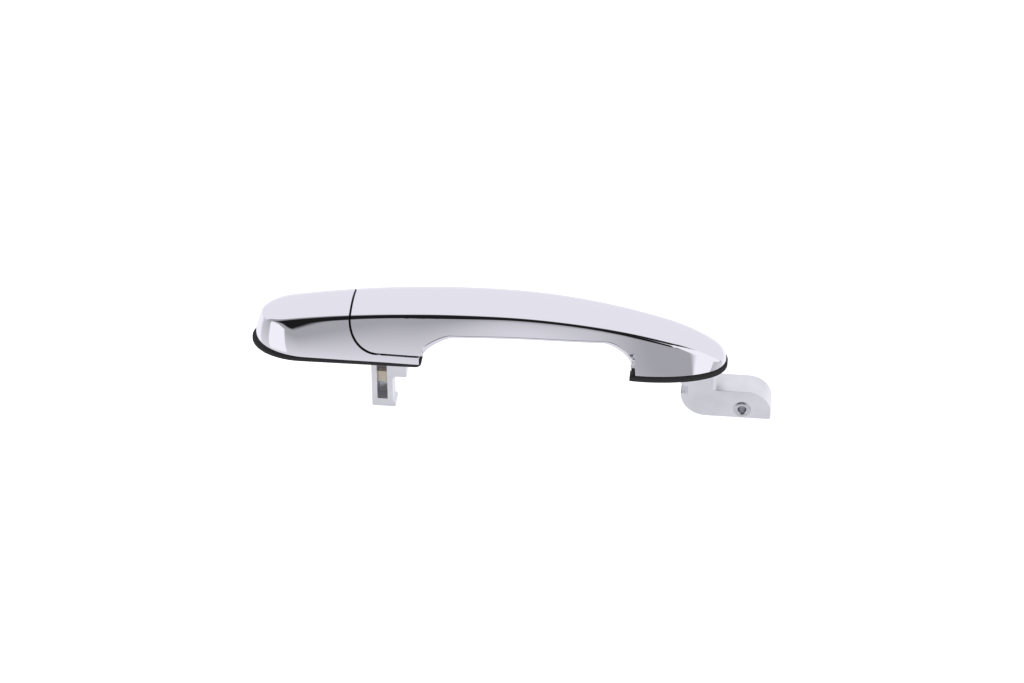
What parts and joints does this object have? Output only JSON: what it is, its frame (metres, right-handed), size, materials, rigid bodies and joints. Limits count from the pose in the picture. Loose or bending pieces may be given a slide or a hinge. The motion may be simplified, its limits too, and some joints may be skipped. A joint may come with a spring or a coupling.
{
  "type": "car door handle",
  "caption": "Strap-type outer car door handle: chrome grip on a front pivot arm with a rear hook, fixed end cap and rubber door gaskets.",
  "frame": {"origin": "centre of the pivot bush, halfway across the handle", "axes": "+X forward along the handle from the end cap to the pivot, +Y across the handle along the pivot bore, +Z out of the door"},
  "size_m": [0.2624, 0.0396, 0.0674],
  "materials": {
    "chrome": "polished",
    "inner_chrome": "polished",
    "rubber": "matte",
    "black_plastic": "matte",
    "zinc": "satin",
    "steel": "satin",
    "brass": "satin",
    "beige_plastic": "matte"
  },
  "bodies": {
    "door_side": {"end_cap": "chrome", "cap_base": "black_plastic", "cap_insert": "brass", "cap_screws": "steel", "rear_gasket": "rubber", "front_gasket": "rubber", "cradle_bumpers": "rubber"},
    "grip": {"grip_outer_shell": "chrome", "grip_inner_shell": "inner_chrome", "grip_core": "black_plastic", "rear_hook": "zinc", "hook_wear_insert": "beige_plastic", "hook_screws": "steel", "hook_screw_inserts": "brass", "pivot_arm": "zinc", "pivot_bush": "steel", "arm_screws": "steel", "arm_screw_inserts": "brass", "shell_screws": "steel"}
  },
  "joints": [
    {"name": "grip_swing", "type": "hinge", "parent": "door_side", "child": "grip", "pos_m": [0, 0, 0], "axis": [0, 1, 0], "range_deg": [0, 8]}
  ]
}
